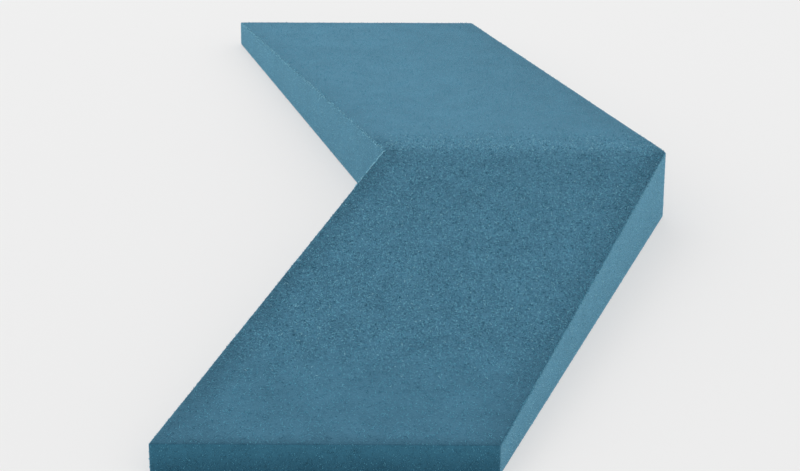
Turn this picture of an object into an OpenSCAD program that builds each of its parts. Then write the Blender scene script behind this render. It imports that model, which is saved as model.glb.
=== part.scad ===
// Arrow-shaped acoustic wall tile: one foam body with a flocked face and a flat back.
// Two mirrored arms meet at a fold line across the middle, where the tile is thickest.
// Its face falls away from that fold to thin ends, and its back is flat for gluing to a wall.
//
// Frame: +Z out of the face, back on z = 0, +Y along the tile, +X towards the arrow's point.
// Origin: on the back, in the middle of the tile's outline box.

/* [Outline] */
// Length of the fold line, from the inner corner to the arrow's point
fold_w = 160; // [100:5:240]
// Distance from the fold line to each end
arm_l = 300; // [200:10:450]
// How far each end lies behind the fold line: the depth of the inner corner
sweep = 103; // [40:1:160]

/* [Thickness] */
// Thickness at the fold line, over the top of the crest
fold_t = 40; // [30:1:70]
// Thickness at the two ends
end_t = 16; // [10:1:24]

/* [Roundings] */
// Radius of the soft crest between the two slopes
crest_r = 100; // [20:5:160]
// Radius of the upright corners and of the edges round the face
edge_r = 1.2; // [0.6:0.2:3]

/* [Hidden] */

// Colour of the flocked face
flock_colour = [0.29, 0.47, 0.56];
// Sides of the round corner posts, and steps along half of the crest
post_sides = 32;
crest_steps = 6;

// Lean of an arm's long sides in plan
lean = atan(sweep / arm_l);

// Height of the crest's axis, and the radius of the line that its rounded edges follow
crest_z = fold_t - crest_r;
spine_r = crest_r - edge_r;

// Slope of the face: that of the line from an end's top which just touches the crest's circle
end_reach = norm([arm_l, end_t - crest_z]);
slope = atan2(arm_l, end_t - crest_z) - acos(crest_r / end_reach);

// Place of the end posts along an arm, and the height of the rounded edge's centre there
end_y = -(arm_l - edge_r);
end_z = end_t + edge_r * tan(slope) - edge_r / cos(slope);

// The inner side runs past the fold line before it is trimmed, to make a clean inner corner
overrun = 2 * edge_r;

// Centres of the rounded edge as [y, z]: up the slope from an end, then over half of the crest
spine = concat(
    [[end_y, end_z]],
    [for (i = [crest_steps : -1 : 0])
        let (turn = slope * i / crest_steps)
        [-spine_r * sin(turn), crest_z + spine_r * cos(turn)]]
);
inner_spine = concat(spine, [[overrun, crest_z + spine_r]]);

// Places of the posts across the tile, measured from the inner corner
function inner_x(y) = y * tan(lean) + edge_r / cos(lean);
function outer_x(y) = fold_w + y * tan(lean) - edge_r / cos(lean);

// The middle of the outline box lies halfway between the rearmost and the foremost post
centre_x = (inner_x(end_y) + outer_x(0)) / 2;

// Size of the block that keeps one half of the tile
half_block = 2 * (arm_l + fold_w + sweep);

// A round post from the back up to the face, with a ball for its top
module post(x, y, z) {
    translate([x, y, 0]) cylinder(r = edge_r, h = z, $fn = post_sides);
    translate([x, y, z]) sphere(r = edge_r, $fn = post_sides);
}

// One arm: a skin stretched over its posts and trimmed on the fold line
module arm() {
    intersection() {
        hull() {
            for (p = inner_spine) post(inner_x(p[0]), p[0], p[1]);
            for (p = spine) post(outer_x(p[0]), p[0], p[1]);
        }
        translate([-half_block / 2, -half_block, -half_block / 2]) cube(half_block);
    }
}

// The whole tile, one piece of foam
module panel() {
    color(flock_colour) translate([-centre_x, 0, 0]) {
        arm();
        mirror([0, 1, 0]) arm();
    }
}

panel();
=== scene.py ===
# %% [markdown]
# # A flocked foam wall tile
# This tile soaks up sound on a wall. It is one piece of soft foam in the shape of a shallow arrow:
# two mirrored arms meet at a fold line, where the foam is thickest, and thin out towards both ends.
# Its face and sides are flocked, which means that very short fibres stand in a coat of glue.
# The solid from the part's source is the fixed frame here, and this file dresses it: first the
# body, then its finishes, then the fibres themselves, and last the room.

# %% Load the frame
from math import acos, atan, atan2, cos, hypot, pi, radians, sin, tan

import bmesh
import bpy
import numpy as np
from mathutils import Matrix, Vector, noise


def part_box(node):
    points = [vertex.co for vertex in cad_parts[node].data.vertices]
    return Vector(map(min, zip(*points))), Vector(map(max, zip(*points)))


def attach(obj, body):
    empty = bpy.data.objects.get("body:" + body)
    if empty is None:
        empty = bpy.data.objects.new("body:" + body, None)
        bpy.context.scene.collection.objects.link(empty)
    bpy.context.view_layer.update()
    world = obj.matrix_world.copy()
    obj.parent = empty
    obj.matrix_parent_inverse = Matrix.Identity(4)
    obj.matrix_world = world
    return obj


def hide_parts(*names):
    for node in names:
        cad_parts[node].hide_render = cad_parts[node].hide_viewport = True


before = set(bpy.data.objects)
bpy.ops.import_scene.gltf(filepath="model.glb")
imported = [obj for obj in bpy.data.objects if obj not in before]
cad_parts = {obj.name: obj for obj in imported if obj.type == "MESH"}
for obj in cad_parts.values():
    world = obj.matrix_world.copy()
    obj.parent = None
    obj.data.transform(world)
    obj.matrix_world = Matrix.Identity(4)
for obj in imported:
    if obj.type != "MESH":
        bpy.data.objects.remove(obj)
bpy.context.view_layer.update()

# %% [markdown]
# ## The tile's own sizes
# A tile maker would set these few sizes on the cutting machine, and all the rest follows from them.
# They repeat the driving sizes of the part's source, in metres. The frame's box tells whether they
# still agree with the solid, so both are printed.

# %% Sizes
MM = 0.001
FOLD_W = 160 * MM
ARM_L = 300 * MM
SWEEP = 103 * MM
FOLD_T = 40 * MM
END_T = 16 * MM
CREST_R = 100 * MM
EDGE_R = 1.2 * MM

lean = atan(SWEEP / ARM_L)
crest_z = FOLD_T - CREST_R
slope = atan2(ARM_L, END_T - crest_z) - acos(CREST_R / hypot(ARM_L, END_T - crest_z))
end_y = ARM_L - EDGE_R
end_z = END_T + EDGE_R * tan(slope) - EDGE_R / cos(slope)
centre_x = (FOLD_W - end_y * tan(lean)) / 2


def inner_x(y):
    """The middle of the rounded edge on the hollow side, at a distance y from the fold line."""
    return EDGE_R / cos(lean) - abs(y) * tan(lean) - centre_x


def outer_x(y):
    """The middle of the rounded edge on the pointed side."""
    return FOLD_W - EDGE_R / cos(lean) - abs(y) * tan(lean) - centre_x


low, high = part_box("panel")
print("point, solid and formula:", round(high[0] / MM, 2), round((outer_x(0) + EDGE_R) / MM, 2))
print("thickness, solid and formula:", round(high[2] / MM, 2), FOLD_T / MM)

# %% [markdown]
# ## The camera
# A long lens from about one and a third metres away looks down at the tile on its back. It turns
# by a third of a degree and rolls by a tenth, as a hand-set tripod does. An aimed camera would need
# an empty to look at. Three plain rotations need none and keep each angle readable.

# %% Camera
EYE = Vector((-0.0116, -1.2223, 0.5250))
LOOK_DOWN, TURN, ROLL = radians(23.735), radians(0.359), radians(0.091)
LENS = 104.47
NEAREST = 0.01

camera = bpy.data.objects.new("Camera", bpy.data.cameras.new("Camera"))
camera.data.lens = LENS
camera.data.clip_start = NEAREST
camera.matrix_world = (
    Matrix.Translation(EYE)
    @ Matrix.Rotation(TURN, 4, "Z")
    @ Matrix.Rotation(pi / 2 - LOOK_DOWN, 4, "X")
    @ Matrix.Rotation(ROLL, 4, "Z")
)
bpy.context.scene.collection.objects.link(camera)
bpy.context.scene.camera = camera
print("camera at", [round(v, 3) for v in EYE], "lens", LENS, "mm")

# %% [markdown]
# ## Writing shaders as sums
# A finish is a sum: a tone, plus grain, minus shade. Node trees are hard to read as long lists of
# links. Here a socket is wrapped in a small class, so that `1 - mask * 0.3` adds the Math nodes by
# itself. Where both sides are plain numbers, Python works them out and no node is made.

# %% A socket that does arithmetic


class Value:
    """An output socket that works in arithmetic: each operator adds one Math node."""

    def __init__(self, tree, socket):
        self.tree = tree
        self.socket = socket

    def math(self, operation, *others):
        inputs = dict(enumerate((self, *others)))
        return self.tree.add("ShaderNodeMath", {"operation": operation}, inputs)

    def __add__(self, other):
        return self.math("ADD", other)

    def __mul__(self, other):
        return self.math("MULTIPLY", other)

    def __sub__(self, other):
        return self.math("SUBTRACT", other)

    def __rsub__(self, other):
        return self * -1 + other

    def __abs__(self):
        return self.math("ABSOLUTE")

    __radd__ = __add__
    __rmul__ = __mul__

    def least(self, other):
        return self.math("MINIMUM", other)

    def most(self, other):
        return self.math("MAXIMUM", other)

    def ramp(self, low, high):
        """0 at low, 1 at high, smooth in between."""
        inputs = {"Value": self, "From Min": low, "From Max": high}
        return self.tree.add("ShaderNodeMapRange", {"interpolation_type": "SMOOTHSTEP"}, inputs)

    def out(self, name):
        """Another output of the node that this one comes from."""
        return Value(self.tree, self.socket.node.outputs[name])


print("a socket now takes + - * and abs()")

# %% [markdown]
# ## One way to add any other node
# Every other node comes from one method that takes its type, its settings and what goes into its
# sockets. The settings go first, because some of them change which sockets a node has. Colours are
# written as the 0 to 255 numbers that a paint shop quotes, and turned into linear light here.

# %% Node trees, materials and colours
MIX_FACTOR, MIX_FIRST, MIX_SECOND, MIXED = 0, 6, 7, 2


class Tree:
    """The node tree of a material or world, emptied, with one method that adds any node."""

    def __init__(self, owner):
        owner.use_nodes = True
        self.tree = owner.node_tree
        self.tree.nodes.clear()

    def add(self, kind, settings=None, sockets=None):
        """A new node of this kind, with its settings made first, then its sockets set or linked."""
        node = self.tree.nodes.new(kind)
        for name, value in (settings or {}).items():
            setattr(node, name, value)
        for key, value in (sockets or {}).items():
            if isinstance(value, Value):
                self.tree.links.new(value.socket, node.inputs[key])
            else:
                node.inputs[key].default_value = value
        return Value(self, node.outputs[0]) if node.outputs else None

    def mix(self, factor, first, second):
        """A colour between two colours. A Mix node keeps its colour sockets under other numbers."""
        inputs = {MIX_FACTOR: factor, MIX_FIRST: first, MIX_SECOND: second}
        return self.add("ShaderNodeMix", {"data_type": "RGBA"}, inputs).out(MIXED)

    def noise(self, place, scale, detail=2.0, roughness=0.5):
        """Soft noise from 0 to 1 with about `scale` bumps a millimetre."""
        inputs = {"Vector": place, "Scale": scale, "Detail": detail, "Roughness": roughness}
        return self.add("ShaderNodeTexNoise", None, inputs)

    def bump(self, height, strength, distance):
        """A normal that is tilted as if the surface rose with the height, up to the distance."""
        inputs = {"Height": height, "Strength": strength, "Distance": distance}
        return self.add("ShaderNodeBump", None, inputs)


def finish(name, surface):
    """A new material. surface(tree) gives what goes into the sockets of its one shader."""
    material = bpy.data.materials.new(name)
    tree = Tree(material)
    shader = tree.add("ShaderNodeBsdfPrincipled", None, surface(tree))
    tree.add("ShaderNodeOutputMaterial", None, {"Surface": shader})
    return material


def srgb(red, green, blue):
    """A colour as a screen's 0 to 255 numbers, turned into the linear colour that nodes use."""
    shares = [channel / 255 for channel in (red, green, blue)]
    return (*(s / 12.92 if s <= 0.04 else ((s + 0.055) / 1.055) ** 2.4 for s in shares), 1.0)


print("a middle grey of 188 is a linear", round(srgb(188, 188, 188)[0], 2))

# %% [markdown]
# ## The body's surface, station by station
# The body is the cut foam under the flock. Rounding a cube with a bevel would be quick, but it
# can't follow the mitre in the inner corner or the soft crest. So the body is a lofted mesh, as a
# boat's hull is: stations run along the tile, up one slope, over the crest and down the other
# slope. Each station is a distance along the tile, a height and the slope there.

# %% Stations along the tile
NAP_SINK = 0.15 * MM
SKIN_R = EDGE_R - NAP_SINK
MESH_STEP = 2.5 * MM
CREST_STEPS = 6
ACROSS = round(FOLD_W / MESH_STEP)

spine_r = CREST_R - EDGE_R
crest_y = spine_r * sin(slope)
slope_steps = round((end_y - crest_y) / MESH_STEP)


def on_slope(step):
    """A station on the near slope, counted from the end."""
    run = (end_y - crest_y) * step / slope_steps
    rise = (end_y - crest_y) * tan(slope) * step / slope_steps
    return -end_y + run, end_z + rise, slope


def on_crest(step):
    """A station on the near half of the crest, counted from the fold line."""
    turn = slope * step / CREST_STEPS
    return -spine_r * sin(turn), crest_z + spine_r * cos(turn), turn


near_half = [on_slope(i) for i in range(slope_steps)]
near_half += [on_crest(i) for i in range(CREST_STEPS, -1, -1)]
stations = near_half + [(-y, z, -turn) for y, z, turn in reversed(near_half[:-1])]
middle = len(near_half) - 1
print("stations:", len(stations), "points across:", ACROSS + 1)

# %% [markdown]
# ## The rim, once round the outline
# A knife and a hand leave the edges of cut foam slightly round, and so are its upright corners.
# The rim is a belt of columns that goes once round the outline. On the straight sides every
# station gives a column, and at each upright corner a fan of columns turns from one side to the
# next. The inner corner needs no fan: two sides meet there in a sharp mitre.

# %% Columns of the rim
CORNER_STEPS = 6


def face_up(turn):
    """The face's outward direction where the tile climbs at this angle."""
    return Vector((0, -sin(turn), cos(turn)))


def side(angle):
    """A level outward direction, given as a plan angle from the +X axis."""
    return Vector((cos(angle), sin(angle), 0))


def centre(station, across):
    """A point of the sheet that lies one edge radius under the face, from 0 to 1 across."""
    y, z, turn = station
    return Vector((inner_x(y) + (outer_x(y) - inner_x(y)) * across, y, z))


def fan(station, across, first, last):
    """Columns that turn round an upright corner, without those that its straight sides give."""
    steps = [first + (last - first) * i / CORNER_STEPS for i in range(1, CORNER_STEPS)]
    return [(station, across, angle) for angle in steps]


first, fold, last = stations[0], stations[middle], stations[-1]
share = [i / ACROSS for i in range(ACROSS + 1)]
columns = [(first, s, -pi / 2) for s in share]
columns += fan(first, 1, -pi / 2, -lean)
columns += [(s, 1, -lean) for s in stations[: middle + 1]]
columns += fan(fold, 1, -lean, lean)
columns += [(s, 1, lean) for s in stations[middle:]]
columns += fan(last, 1, lean, pi / 2)
columns += [(last, s, pi / 2) for s in reversed(share)]
columns += fan(last, 0, pi / 2, pi + lean)
columns += [(s, 0, pi + lean) for s in reversed(stations[middle + 1 :])]
columns += [(s, 0, pi - lean) for s in reversed(stations[: middle + 1])]
columns += fan(first, 0, pi - lean, 3 * pi / 2)
print("rim columns:", len(columns))

# %% [markdown]
# ## What one column looks like
# A column rolls over the edge in a quarter circle, drops down the wall to the foot, cuts the foot's
# corner off by half a millimetre and ends a little way in under the back. Walls get many short
# steps, so that the soft unevenness further down has points to move.

# %% Points of a column
EDGE_STEPS = 4
WALL_STEPS = 12
FOOT = 0.5 * MM


def edge_roll(middle_point, up, out):
    """Points on the rounded edge, from the face's direction to the wall's."""
    opening = up.angle(out)
    points = []
    for i in range(EDGE_STEPS + 1):
        way = up * sin(opening * (1 - i / EDGE_STEPS)) + out * sin(opening * i / EDGE_STEPS)
        points.append(middle_point + way * (SKIN_R / sin(opening)))
    return points


def slid_to_fold(points):
    """The points moved along the near arm's edge to the fold line, which makes the mitre."""
    along = Vector((sin(lean), cos(lean), 0))
    return [p - along * (p.y / along.y) for p in points]


def rim_column(station, across, angle):
    """Points from the face over the edge, down the wall, round the foot and in under the back."""
    middle_point, out = centre(station, across), side(angle)
    points = edge_roll(middle_point, face_up(station[2]), out)
    if station is fold and across == 0:
        points = slid_to_fold(points)
    x, y, top_z = points[-1]
    drops = [top_z + (FOOT - top_z) * i / WALL_STEPS for i in range(1, WALL_STEPS + 1)]
    points += [Vector((x, y, z)) for z in drops]
    points.append(Vector((x, y, 0)) - out * FOOT)
    points.append(Vector((middle_point.x, middle_point.y, 0)))
    return points


rim = [rim_column(*column) for column in columns]
print("points in a column:", len(rim[0]))

# %% [markdown]
# ## Weld the patches into the body
# Face, back and rim are three grids that share their border points. Filling their faces by index
# is simpler than bridging loops, and welding equal points then closes the mesh. The number of open
# edges has to be 0, since a shell with a gap shades badly and is no use as a part.

# %% Weld the body
WELD = 0.01 * MM


def patch(rows, closed=False):
    """Corner points and faces of a grid, given as rows of points."""
    wide, tall = len(rows[0]), len(rows)
    points = [p for row in rows for p in row]
    faces = [
        (a * wide + b, b + 1 + a * wide, (a + 1) % tall * wide + b + 1, (a + 1) % tall * wide + b)
        for a in range(tall if closed else tall - 1)
        for b in range(wide - 1)
    ]
    return points, faces


def in_scene(name, mesh):
    """A new object of this name and mesh, linked into the scene."""
    made = bpy.data.objects.new(name, mesh)
    bpy.context.scene.collection.objects.link(made)
    return made


face_rows = [[centre(s, k) + face_up(s[2]) * SKIN_R for k in share] for s in stations]
back_rows = [[Vector((centre(s, k).x, s[0], 0)) for k in reversed(share)] for s in stations]
points, faces = [], []
for new_points, new_faces in (patch(face_rows), patch(back_rows), patch(rim, closed=True)):
    faces += [tuple(i + len(points) for i in face) for face in new_faces]
    points += new_points

body_mesh = bpy.data.meshes.new("foam_body")
body_mesh.from_pydata(points, [], faces)
welder = bmesh.new()
welder.from_mesh(body_mesh)
bmesh.ops.remove_doubles(welder, verts=welder.verts, dist=WELD)
bmesh.ops.recalc_face_normals(welder, faces=welder.faces)
open_edges = sum(not e.is_manifold for e in welder.edges)
welder.to_mesh(body_mesh)
welder.free()
body_mesh.polygons.foreach_set("use_smooth", [True] * len(body_mesh.polygons))
body = in_scene("foam_body", body_mesh)
print("body faces:", len(body_mesh.polygons), "open edges:", open_edges)

# %% [markdown]
# ## Soft foam isn't perfectly flat
# A cut foam face is never dead flat: it rises and falls by about a tenth of a millimetre over a few
# centimetres, and light shows it. A displacement modifier could do this, but here each point simply
# moves along its own normal by a smooth noise. The normals are copied first, because moving a point
# changes its neighbours' normals. The move fades out near the foot, so the back stays flat for
# glue.

# %% Gentle unevenness
RELIEF = 0.12 * MM
RELIEF_PITCH = 38 * MM
RELIEF_FADE = 8 * MM
FINER, FINER_SHARE = 2.7, 0.4

outward = [vertex.normal.copy() for vertex in body_mesh.vertices]
for vertex, way in zip(body_mesh.vertices, outward):
    lift = noise.noise(vertex.co / RELIEF_PITCH)
    lift += FINER_SHARE * noise.noise(vertex.co * FINER / RELIEF_PITCH)
    vertex.co += way * (lift * RELIEF * min(1, vertex.co.z / RELIEF_FADE))
print("relief up to", RELIEF / MM, "mm")

# %% [markdown]
# ## Where the nap is lively, and where painted shade darkens it
# A nap is never the same all over: here its grain is liveliest in the middle of one arm and calm at
# the far one. The face is also darker along the rim, on the last stretch below the fold and towards
# the arrow's point, and that darkening is painted shade. A mask in an image could hold that, but
# soft ramps along and across the tile do the same with a few numbers, all in millimetres. A
# millimetre at an end counts as two at a side, so the dark band there is half as wide. The ramp is
# an argument of `lively`, so that the shader here and the fibres later on use one rule.

# %% Lively places and painted shade
FRONT_CALM, FAR_CALM, CALM = (-270, -190), (-10, 60), 0.3
RIM_BAND, RIM_DARK = 20, 0.3
END_WEIGHT = 2
FAR_ARM, FAR_RIM = (5, 55), 0.5
FAR_POINT, POINT_DARK = (60, 160), 0.2
FOLD_NEAR, FOLD_OVER, FOLD_DARK = (-120, -30), (-3, 8), 0.12


def lively(along, ramp):
    """How strongly the grain shows at a distance along the tile: most on the near arm's middle."""
    return ramp(along, *FRONT_CALM) * (1 - ramp(along, *FAR_CALM))


def painted_shade_mask(across, along):
    """Painted shade, from 0: how much darker the face is on its rim, towards the point and below
    the fold.
    """
    to_end = (ARM_L / MM - abs(along)) * END_WEIGHT
    to_rim = across.least(FOLD_W / MM - across).least(to_end)
    far = along.ramp(*FAR_ARM)
    darker = (1 - to_rim.ramp(0, RIM_BAND)) * (1 - far * FAR_RIM) * RIM_DARK
    darker = darker + far * across.ramp(*FAR_POINT) * POINT_DARK
    return darker + along.ramp(*FOLD_NEAR) * (1 - along.ramp(*FOLD_OVER)) * FOLD_DARK


print("the nap is liveliest from", FRONT_CALM[1], "to", FAR_CALM[0], "mm along the tile")

# %% [markdown]
# ## Flock: the colour of a nap
# Flock is dark where you look straight down between the fibres and light where you look across
# them, because then their lit sides cover the gaps. A plain diffuse colour can't do that. The sheen
# layer does, with a blue-green tint, and it is what makes the arm that leans away look paler. The
# face has less sheen than the walls, over a paler base. With a full sheen and a dark base, the two
# arms would need different tones, and that would show from above. Face, walls and ends are lit and
# shaded copies of one flock, each with its own tone and sheen, and the ends' lower tone is painted
# shade. Under the sheen, fine noise in millimetres gives the speckle of single tufts, thin curly
# lines and wide, faint patches. The ends get darker towards their foot, which is painted shade.

# %% Flock material
DEEP = srgb(12, 58, 79)
PALE = srgb(62, 122, 147)
FACE_PALE = srgb(72, 124, 150)
SHEEN_TINT = (0.335, 0.72, 0.96, 1.0)
FACE_SHEEN, SIDE_SHEEN = 0.6, 1.0
# Lit and shaded copies of one flock: the ends' lower tone is painted shade.
FACE_TONE, SIDE_TONE, END_TONE = 0.735, 0.56, 0.46
# Painted shade: the ends' tone rises with height, so they darken towards the foot.
END_SHADE, END_FADE = (3, 13), 0.25
SPECKLE, SPECKLE_SHARE = {"scale": 1.3, "detail": 2.0, "roughness": 0.6}, 1.4
CURLS, CURL_WIDTH, CURL_MEAN, CURL_SHARE = {"scale": 0.8, "detail": 1.0}, 0.08, 0.3, 0.3
PATCHES, PATCH_SHARE = {"scale": 0.06, "detail": 2.0}, 0.5
NAP_BUMP = {"strength": 0.5, "distance": 0.4 * MM}


def tile_millimetres(tree):
    """The place on the tile in millimetres, from the object's own coordinates."""
    place = tree.add("ShaderNodeTexCoord").out("Object")
    return tree.add("ShaderNodeVectorMath", {"operation": "SCALE"}, {0: place, "Scale": 1 / MM})


def flock(name, tone, pale=PALE, sheen=SIDE_SHEEN, painted_shade_weight=0.0, painted_foot_shade=0.0):
    """A flocked skin with a tone from 0, deep, to 1, pale, and painted shade from the mask or
    towards the foot.
    """

    def surface(tree):
        place = tile_millimetres(tree)
        parts = tree.add("ShaderNodeSeparateXYZ", None, {"Vector": place})
        along, height = parts.out("Y"), parts.out("Z")
        across = parts + centre_x / MM + abs(along) * tan(lean)
        speckle = tree.noise(place, **SPECKLE)
        curls = 1 - abs(tree.noise(place, **CURLS) - 0.5).ramp(0.0, CURL_WIDTH)
        grain = (speckle - 0.5) * SPECKLE_SHARE + (curls - CURL_MEAN) * CURL_SHARE
        grain = grain * (lively(along, Value.ramp) * (1 - CALM) + CALM)
        patches = (tree.noise(place, **PATCHES) - 0.5) * PATCH_SHARE
        # Painted shade: the face is darker on its rim, towards the point and below the fold.
        shade = painted_shade_mask(across, along) * painted_shade_weight
        # Painted shade: the ends darken towards their foot.
        tones = grain + patches + tone - shade + height.ramp(*END_SHADE) * painted_foot_shade
        return {
            "Base Color": tree.mix(tones.most(0).least(1), DEEP, pale),
            "Roughness": 0.95,
            "Specular IOR Level": 0.1,
            "Sheen Weight": sheen,
            "Sheen Roughness": 0.48,
            "Sheen Tint": SHEEN_TINT,
            "Normal": tree.bump(speckle + curls * CURL_SHARE, **NAP_BUMP),
        }

    return finish(name, surface)


# Face, walls and ends are lit and shaded copies of one flock.
body_mesh.materials.append(flock("flocked_face", FACE_TONE, FACE_PALE, FACE_SHEEN, painted_shade_weight=1.0))
body_mesh.materials.append(flock("flocked_sides", SIDE_TONE))
body_mesh.materials.append(flock("flocked_ends", END_TONE, painted_foot_shade=END_FADE))
print("flocks:", [material.name for material in body_mesh.materials])

# %% [markdown]
# ## Bare foam on the back
# The back gets glue and no flock, so it shows the cut foam: open pores with thin walls between
# them. Modelling pores would cost millions of faces for a side that ends up on a wall. A cell
# pattern does it, dark in the pores, which is painted shade, pale on their walls, and pressed in a
# little by a bump.

# %% Plain foam material
PORES_PER_MM = 1.4
PORE_WALL = (0.1, 0.5)
# Painted shade: the dark colour inside the pores.
PORE_DARK = srgb(36, 62, 76)
PORE_PALE = srgb(58, 92, 108)
PORE_BUMP = {"strength": 0.6, "distance": 0.3 * MM}


def foam_surface(tree):
    """Cut foam: pores darkened by painted shade, between paler walls."""
    cells = {"Vector": tile_millimetres(tree), "Scale": PORES_PER_MM}
    pores = tree.add("ShaderNodeTexVoronoi", None, cells).ramp(*PORE_WALL)
    return {
        "Base Color": tree.mix(pores, PORE_DARK, PORE_PALE),
        "Roughness": 0.9,
        "Specular IOR Level": 0.2,
        "Normal": tree.bump(pores, **PORE_BUMP),
    }


body_mesh.materials.append(finish("foam_back", foam_surface))
print("pores a millimetre:", PORES_PER_MM)

# %% [markdown]
# ## Which finish goes where
# Flock is blown on from outside, so the direction that a surface faces tells which finish it has.
# Picking faces by hand or by index would break with the next change of a size. The body then takes
# the place of the plain solid and rides on its body.

# %% Finish for each face
FACE, SIDES, ENDS, BACK = range(4)
FACES_DOWN = -0.9
FACE_TILT, END_TILT = radians(45), radians(40)


def skin_part(facing):
    """Which part of the tile a surface belongs to, by the direction that it faces."""
    if facing.z < FACES_DOWN:
        return BACK
    if facing.z > cos(FACE_TILT):
        return FACE
    return ENDS if abs(facing.y) > cos(END_TILT) else SIDES


for polygon in body_mesh.polygons:
    polygon.material_index = skin_part(polygon.normal)
counts = np.bincount([polygon.material_index for polygon in body_mesh.polygons])
print("faces of face, sides, ends and back:", counts)

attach(body, "root")
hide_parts("panel")

# %% [markdown]
# ## Sow points over the skin
# From close by, a nap is single fibres, and along every edge they stand out against what is behind.
# A hair system would make them too, but it doesn't survive an export as plain mesh. So points are
# sown at random over the skin's triangles, each triangle in proportion to its area, and every point
# becomes the root of one tuft. A fixed seed gives the same nap every time.

# %% Points on the skin
NAP_SEED = 11


def skin_arrays():
    """Corner places, corner normals and finish of every triangle of the flocked skin."""
    body_mesh.calc_loop_triangles()
    count = len(body_mesh.loop_triangles)
    corners = np.empty(count * 3, np.int32)
    slots = np.empty(count, np.int32)
    body_mesh.loop_triangles.foreach_get("vertices", corners)
    body_mesh.loop_triangles.foreach_get("material_index", slots)
    places, ways = (np.empty(len(body_mesh.vertices) * 3) for _ in range(2))
    body_mesh.vertices.foreach_get("co", places)
    body_mesh.vertices.foreach_get("normal", ways)
    flocked = slots != BACK
    corners = corners.reshape(-1, 3)[flocked]
    return places.reshape(-1, 3)[corners], ways.reshape(-1, 3)[corners], slots[flocked]


def unit(vectors):
    """The same directions with a length of 1."""
    return vectors / np.linalg.norm(vectors, axis=1, keepdims=True)


def sow(chosen, per_mm2, dice):
    """Random points and their normals on the chosen triangles, evenly by area."""
    places, ways = skin_places[chosen], skin_ways[chosen]
    first_side, second_side = places[:, 1] - places[:, 0], places[:, 2] - places[:, 0]
    areas = np.linalg.norm(np.cross(first_side, second_side), axis=1) / 2
    count = int(areas.sum() / MM**2 * per_mm2)
    picked = np.searchsorted(np.cumsum(areas) / areas.sum(), dice.random(count))
    weights = dice.dirichlet((1, 1, 1), count)[:, :, None]
    return (places[picked] * weights).sum(axis=1), unit((ways[picked] * weights).sum(axis=1))


skin_places, skin_ways, skin_slots = skin_arrays()
skin_middles, skin_facing = skin_places.mean(axis=1), unit(skin_ways.mean(axis=1))
print("skin triangles:", len(skin_places))

# %% [markdown]
# ## Six shades of one dye, painted as light and shade
# Fibres are cut from one dyed thread, and the six shades are painted light and shade on that one
# colour, from deep to glint, which is a painted highlight. A colour picked at random inside one
# material would have to be baked to leave this scene. Six plain materials, one for each shade, need
# no baking at all.

# %% Fibre materials
FIBRE_FINISH = {
    "Roughness": 0.9,
    "Specular IOR Level": 0.1,
    "Sheen Weight": 0.7,
    "Sheen Roughness": 0.5,
    "Sheen Tint": SHEEN_TINT,
}
# Painted light and shade on one dye colour; glint is a painted highlight.
PAINTED_FIBRE_SHADES = {
    "deep": (44, 96, 118),
    "dim": (74, 134, 158),
    "plain": (100, 170, 194),
    "light": (124, 190, 212),
    "bright": (166, 222, 236),
    "glint": (176, 228, 244),
}


def fibre(name, shade):
    """A plain material in one painted shade of the dye."""
    return finish(name, lambda tree: {"Base Color": srgb(*shade), **FIBRE_FINISH})


fibre_materials = [fibre("flock_" + name, shade) for name, shade in PAINTED_FIBRE_SHADES.items()]
print("fibre shades:", list(PAINTED_FIBRE_SHADES))

# %% [markdown]
# ## The shape of a tuft
# A tuft is a thin blade, bent once at its knee: four corners up to the knee and a pointed tip. Two
# faces are enough at this size, and a bend catches light where a straight spike wouldn't. Upright
# tufts lean by up to 35 degrees. On the near arm the nap lies down and curls, which shows as fine
# curly strokes. Lying tufts at the rim are turned inwards, so that none hangs over the edge.

# %% Corners of the blades
KNEE = 0.5
UPRIGHT, LYING = (0, 35), (45, 70)
CURL = (0, 50)
LENGTHS = (0.6, 1.0)
EDGE_KEEP = 2.5
FLOOR_GAP = 0.05 * MM


def from_rim(roots):
    """Millimetres from each root to the rim, and -1 or 1 for its side of the arm's middle."""
    across = roots[:, 0] + centre_x + np.abs(roots[:, 1]) * tan(lean)
    to_side = FOLD_W / 2 - np.abs(across - FOLD_W / 2)
    to_end = (ARM_L - np.abs(roots[:, 1])) * END_WEIGHT
    return np.minimum(to_side, to_end) / MM, np.sign(across - FOLD_W / 2)


def blades(roots, normals, fibre_length, fibre_width, lying, dice):
    """The five corners of each blade: two at the root, two at the knee and the tip."""
    count = len(roots)
    sideways = unit(np.cross(normals, dice.normal(size=(count, 3))))
    to_rim, outwards = from_rim(roots)
    overhangs = lying & (to_rim < EDGE_KEEP) & (sideways[:, 0] * outwards > 0)
    sideways[overhangs] *= -1
    tipping = np.radians(dice.uniform(*(LYING if lying else UPRIGHT), (count, 1)))
    curl = np.radians(dice.uniform(*CURL, (count, 1)))
    length = fibre_length * dice.uniform(*LENGTHS, (count, 1))
    knees = roots + (normals * np.cos(tipping) + sideways * np.sin(tipping)) * length * KNEE
    tipping = tipping + curl
    tips = knees + (normals * np.cos(tipping) + sideways * np.sin(tipping)) * length * (1 - KNEE)
    half_width = unit(np.cross(tips - roots, dice.normal(size=(count, 3)))) * fibre_width / 2
    corners = (roots - half_width, roots + half_width, knees + half_width, knees - half_width, tips)
    corners = np.stack(corners, axis=1).reshape(-1, 3)
    corners[:, 2] = corners[:, 2].clip(FLOOR_GAP)
    return corners


print("a blade bends at", KNEE, "of its length, by up to", CURL[1], "degrees")

# %% [markdown]
# ## The shade of a tuft
# Each piece of nap has two mixes of the six shades: one for lively places and one for calm ones.
# A throw of the dice decides between them by the rule that the skin uses, so skin and fibres agree.
# In the lying nap, tufts at the rim are often one shade darker, which is painted shade, and those
# beyond the fold one shade lighter, which is painted light. The lying nap also has gaps, since it
# is thin at the front and ends beyond the crest.

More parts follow.
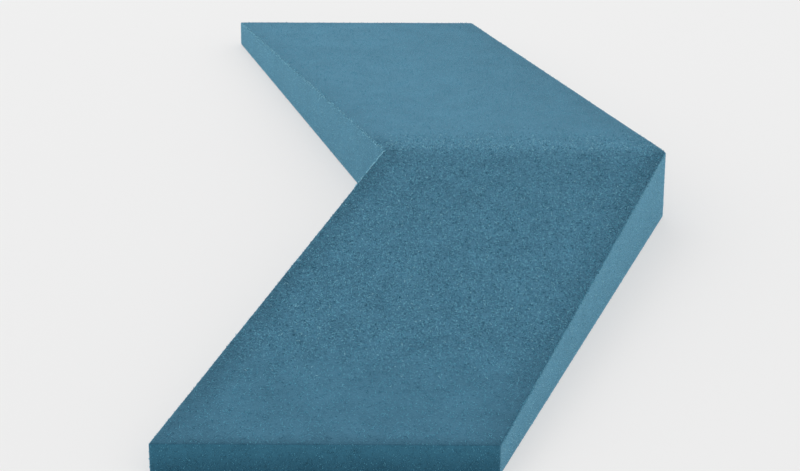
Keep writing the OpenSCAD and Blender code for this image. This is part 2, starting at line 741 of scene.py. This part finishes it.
# %% Shades and gaps
RIM_DIM = 0.65
FAR_SIDE, FAR_LIFT = (-5, 15), 0.5
CREST_THIN, FRONT_THIN = (-10, 45), 0.6


def smooth(value, low, high):
    """The same soft ramp as the shader's: 0 at low, 1 at high."""
    share = np.clip((value - low) / (high - low), 0, 1)
    return share * share * (3 - 2 * share)


def lying_gaps(along):
    """The share of the lying nap that is missing: some at the front, all of it past the crest."""
    return smooth(along, *CREST_THIN) + FRONT_THIN * (1 - smooth(along, *FRONT_CALM))


def shades_of(roots, lively_mix, calm_mix, lying, dice):
    """The number of each tuft's shade."""
    count, along = len(roots), roots[:, 1] / MM
    is_lively = dice.random(count) < lively(along, smooth)
    mixes = (lively_mix, calm_mix or lively_mix)
    when_lively, when_calm = (dice.choice(len(fibre_materials), count, p=mix) for mix in mixes)
    shades = np.where(is_lively, when_lively, when_calm)
    if lying:
        # Painted shade at the rim and painted light beyond the fold: one shade darker or lighter.
        is_rim = dice.random(count) < RIM_DIM * (1 - smooth(from_rim(roots)[0], 0, RIM_BAND))
        is_far = dice.random(count) < FAR_LIFT * smooth(along, *FAR_SIDE)
        shades = (shades - is_rim + is_far).clip(0, len(fibre_materials) - 2)
    return shades


print("gaps at the front, middle and fold:", lying_gaps(np.array((-300, -100, 0))).round(2))

# %% [markdown]
# ## From blades to a piece
# A hundred thousand blades are too many for a loop in Python. The mesh takes its corners, faces and
# shades as whole arrays instead, which is done in a blink. Each blade is one four-sided face and
# one triangle that share the two corners of the knee.

# %% Build a piece of nap
BLADE_CORNERS = 5
BLADE_LOOPS = np.array((0, 1, 2, 3, 3, 2, 4))
FACE_STARTS = (0, 4)


def nap(name, chosen, per_mm2, fibre_length, fibre_width, lively_mix, calm_mix=None, lying=False):
    """A piece of bent blades that stand in the skin, one for each tuft, in shares of each shade."""
    dice = np.random.default_rng(NAP_SEED)
    roots, normals = sow(chosen, per_mm2, dice)
    kept = dice.random(len(roots)) > lying * lying_gaps(roots[:, 1] / MM)
    roots, normals = roots[kept], normals[kept]
    corners = blades(roots, normals, fibre_length, fibre_width, lying, dice)
    count = len(roots)
    each = np.arange(count)[:, None]
    mesh = bpy.data.meshes.new(name)
    mesh.vertices.add(count * BLADE_CORNERS)
    mesh.vertices.foreach_set("co", corners.ravel())
    mesh.loops.add(count * len(BLADE_LOOPS))
    mesh.loops.foreach_set("vertex_index", (each * BLADE_CORNERS + BLADE_LOOPS).ravel())
    mesh.polygons.add(count * len(FACE_STARTS))
    mesh.polygons.foreach_set("loop_start", (each * len(BLADE_LOOPS) + FACE_STARTS).ravel())
    for material in fibre_materials:
        mesh.materials.append(material)
    shades = shades_of(roots, lively_mix, calm_mix, lying, dice)
    mesh.polygons.foreach_set("material_index", np.repeat(shades, len(FACE_STARTS)))
    mesh.update(calc_edges=True)
    piece = in_scene(name, mesh)
    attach(piece, "root")
    print(name, "tufts:", count, "triangles:", count * 3)


on_face, on_sides, on_ends = (skin_slots == part for part in (FACE, SIDES, ENDS))
print("triangles of face, sides and ends:", on_face.sum(), on_sides.sum(), on_ends.sum())

# %% [markdown]
# ## Nap on the face, the walls and the ends
# The near arm and the crest get long, fine tufts that lie down, more than one to a square
# millimetre. Further off, and on the walls, short upright tufts are enough: from there a nap reads
# as an even cover. Their pale shades are painted light for the far slope and the walls. The ends
# turn away from the light, so theirs are deep, which is painted shade. Each mix gives the share of
# the six shades, from deep to glint.

# %% Nap on the large surfaces
LIVELY_MIX = (0.36, 0.02, 0.12, 0.48, 0.02, 0.0)
NEAR_CALM_MIX = (0.06, 0.2, 0.74, 0.0, 0.0, 0.0)
FAR_LIVELY_MIX = (0.34, 0.02, 0.28, 0.23, 0.13, 0.0)
# Painted light: the far calm mix is paler than the near one.
FAR_CALM_MIX = (0.0, 0.0, 0.6, 0.4, 0.0, 0.0)
# Painted light: pale tufts on the walls.
WALL_MIX = (0.0, 0.0, 0.0, 0.5, 0.5, 0.0)
# Painted shade: deep tufts on the ends.
END_MIX = (0.3, 0.4, 0.3, 0.0, 0.0, 0.0)
CREST_END = 60 * MM

near = skin_middles[:, 1] <= 0
near_and_crest = skin_middles[:, 1] < CREST_END
near_mixes, far_mixes = (LIVELY_MIX, NEAR_CALM_MIX), (FAR_LIVELY_MIX, FAR_CALM_MIX)
nap("nap_near_face", on_face & near_and_crest, 1.2, 1.6 * MM, 0.2 * MM, *near_mixes, lying=True)
nap("nap_far_face", on_face & ~near, 0.35, 0.7 * MM, 0.28 * MM, *far_mixes)
nap("nap_walls", on_sides, 0.5, 0.6 * MM, 0.26 * MM, WALL_MIX)
nap("nap_ends", on_ends, 1.2, 0.8 * MM, 0.3 * MM, END_MIX)

# %% [markdown]
# ## Fringes along the edges
# Where the nap goes over an edge, its tips stand free and catch the light as a thin bright line.
# It shows best in the notch, against the wall behind, so bright tufts are sown on the edge's roll
# there, and their pale and glint shades are a painted highlight. Along the outer edge of the near
# arm deep tufts roughen the line between face and wall.

# %% Fringes
# Painted highlight: mostly bright and glint shades for the fringe.
FRINGE_HIGHLIGHT_MIX = (0.1, 0.0, 0.0, 0.2, 0.3, 0.4)
NOTCH_END = -45 * MM
ROLL_LOW, ROLL_HIGH = sin(radians(15)), cos(radians(15))
SIDEWAYS = 0.2

on_roll = (skin_facing[:, 2] > ROLL_LOW) & (skin_facing[:, 2] < ROLL_HIGH)
on_inner_roll = on_roll & (skin_facing[:, 0] < -SIDEWAYS) & (skin_middles[:, 1] > NOTCH_END)
on_outer_roll = on_roll & (skin_facing[:, 0] > SIDEWAYS)
nap("nap_fringe_near", on_inner_roll & near, 6.0, 0.9 * MM, 0.3 * MM, FRINGE_HIGHLIGHT_MIX)
nap("nap_fringe_far", on_inner_roll & ~near, 2.5, 0.7 * MM, 0.26 * MM, FRINGE_HIGHLIGHT_MIX)
nap("nap_fringe_outer", on_outer_roll & near, 2.0, 0.9 * MM, 0.25 * MM, END_MIX)

# %% [markdown]
# ## The floor
# The tile lies on a pale table top. A white floor lit by a studio is rarely quite white, and more
# light would wash out the tile. So the floor gives a part of its own pale tone straight to the
# camera, and the rest of it is a matt paint that takes the tile's soft shadow.

# %% Floor
FLOOR_SIZE = 12.0
FLOOR_TONE = srgb(242, 242, 242)
OWN_TONE_SHARE = 0.55


def seen_directly(tree):
    """1 for what the camera sees by itself or through gloss and glass, and 0 for other light."""
    rays = tree.add("ShaderNodeLightPath")
    seen = rays.out("Is Camera Ray") + rays.out("Is Glossy Ray")
    return (seen + rays.out("Is Transmission Ray")).least(1)


half = FLOOR_SIZE / 2
floor_corners = [(-half, -half, 0), (half, -half, 0), (half, half, 0), (-half, half, 0)]
floor_mesh = bpy.data.meshes.new("floor")
floor_mesh.from_pydata(floor_corners, [], [(0, 1, 2, 3)])
floor = in_scene("floor", floor_mesh)

floor_paint = bpy.data.materials.new("pale_floor")
tree = Tree(floor_paint)
matt = tree.add("ShaderNodeBsdfDiffuse", None, {"Color": FLOOR_TONE})
glow = tree.add("ShaderNodeEmission", None, {"Color": FLOOR_TONE, "Strength": 1.0})
blend = {0: seen_directly(tree) * OWN_TONE_SHARE, 1: matt, 2: glow}
paint = tree.add("ShaderNodeMixShader", None, blend)
tree.add("ShaderNodeOutputMaterial", None, {"Surface": paint})
floor_mesh.materials.append(floor_paint)
print("floor:", FLOOR_SIZE, "m square")

# %% [markdown]
# ## The sky
# Soft light from all round is what brings out a nap. A ring of lamps could give it, but a plain sky
# is simpler and has no edges. It is a little brighter at the horizon, as white studio walls are,
# which lights the fibres from the side. The camera itself sees it as an even pale tone.

# %% Sky
ZENITH, HORIZON = 0.82, 1.12

sky = bpy.data.worlds.new("studio")
bpy.context.scene.world = sky
tree = Tree(sky)
heading = tree.add("ShaderNodeTexCoord").out("Generated")
height = tree.add("ShaderNodeSeparateXYZ", None, {"Vector": heading}).out("Z").most(0)
level = HORIZON - height * (HORIZON - ZENITH)
level = level + seen_directly(tree) * (1 - level)
light = tree.add("ShaderNodeBackground", None, {"Color": FLOOR_TONE, "Strength": level})
tree.add("ShaderNodeOutputWorld", None, {"Surface": light})
print("sky from", HORIZON, "at the horizon to", ZENITH, "overhead")

# %% [markdown]
# ## The key lamp
# One large, weak lamp behind and to the left gives the shadow its direction. It stands far off
# compared with the tile, since a near lamp would light one end of the floor more than the other.
# Its power follows from the level that it should give at the tile, so it can be moved freely.

# %% Key lamp
KEY_PLACE, KEY_SIZE, KEY_LEVEL = (-0.8, 2.4, 2.7), 2.1, 0.16


def soft_lamp(name, place, size, level):
    """A square soft lamp aimed at the tile. A level of 1 alone would show a white card as white."""
    lamp = bpy.data.lights.new(name, "AREA")
    lamp.size = size
    place = Vector(place)
    lamp.energy = level * pi * pi * place.length_squared
    holder = in_scene(name, lamp)
    holder.location = place
    holder.rotation_euler = (-place).to_track_quat("-Z", "Y").to_euler()
    return holder


key_lamp = soft_lamp("key_lamp", KEY_PLACE, KEY_SIZE, KEY_LEVEL)
print("key lamp:", round(key_lamp.data.energy, 1), "W")

# %% [markdown]
# ## View settings
# The plain view transform shows a colour about as it is written. The nap adds less than a
# millimetre to each side of the solid's box.

# %% Finish
bpy.context.scene.view_settings.view_transform = "Standard"
